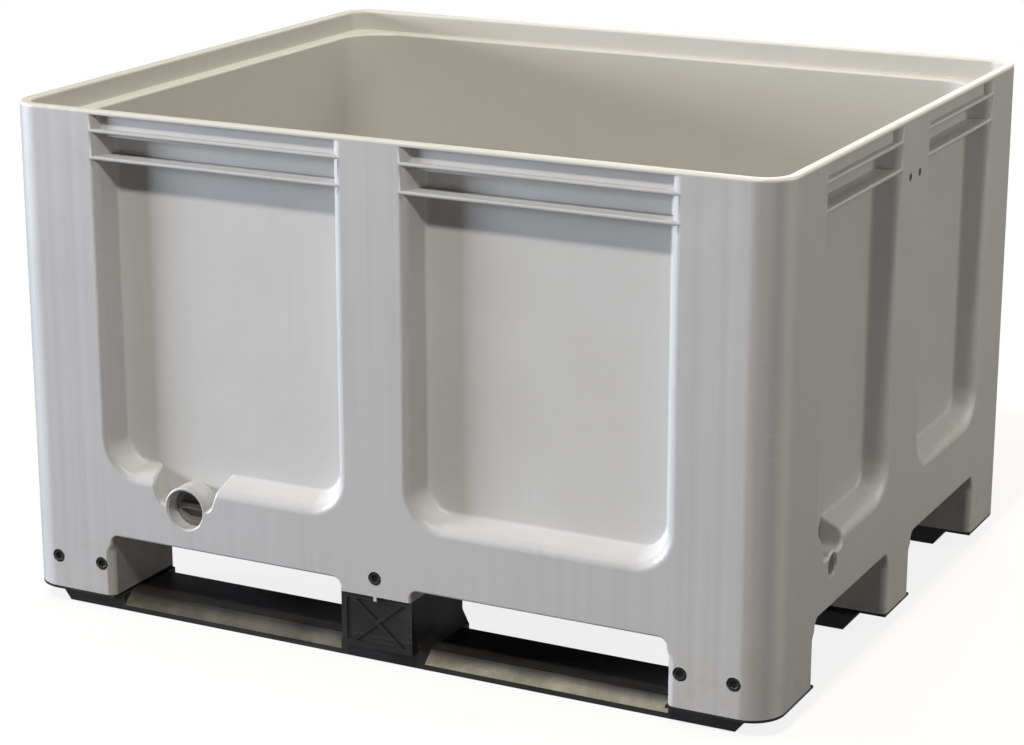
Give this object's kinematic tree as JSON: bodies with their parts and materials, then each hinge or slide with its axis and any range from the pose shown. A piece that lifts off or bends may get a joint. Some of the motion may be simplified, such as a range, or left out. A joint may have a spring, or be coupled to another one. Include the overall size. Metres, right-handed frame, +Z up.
{
  "type": "pallet box",
  "caption": "Grey moulded pallet box with recessed ribbed panels, stacking rim, four-way fork entry, plugged drain spouts and black screwed-on runners.",
  "frame": {"origin": "on the ground under the centre of the box", "axes": "+X along the long side, +Y from the side with the front drain to the rear, +Z up"},
  "size_m": [1.2, 1, 0.76],
  "materials": {
    "grey_polyethylene": "satin moulded, light grey",
    "black_polyethylene": "satin moulded, black",
    "screw_steel": "dark coated steel",
    "plug_plastic": "satin moulded, mid grey",
    "seal_rubber": "matte black"
  },
  "bodies": {
    "box": {"box_body": "grey_polyethylene", "front_runner": "black_polyethylene", "middle_runner": "black_polyethylene", "rear_runner": "black_polyethylene", "front_end_screws": "screw_steel", "front_centre_screw": "screw_steel", "rear_end_screws": "screw_steel", "rear_centre_screw": "screw_steel", "middle_runner_screws": "screw_steel"},
    "front_plug": {"front_drain_plug": "plug_plastic", "front_drain_seal": "seal_rubber"},
    "side_plug": {"side_drain_plug": "plug_plastic", "side_drain_seal": "seal_rubber"}
  },
  "joints": [
    {"name": "front_plug_pull", "type": "slide", "parent": "box", "child": "front_plug", "axis": [0, -1, 0], "range_m": [0, 0.06]},
    {"name": "side_plug_pull", "type": "slide", "parent": "box", "child": "side_plug", "axis": [1, 0, 0], "range_m": [0, 0.06]}
  ]
}
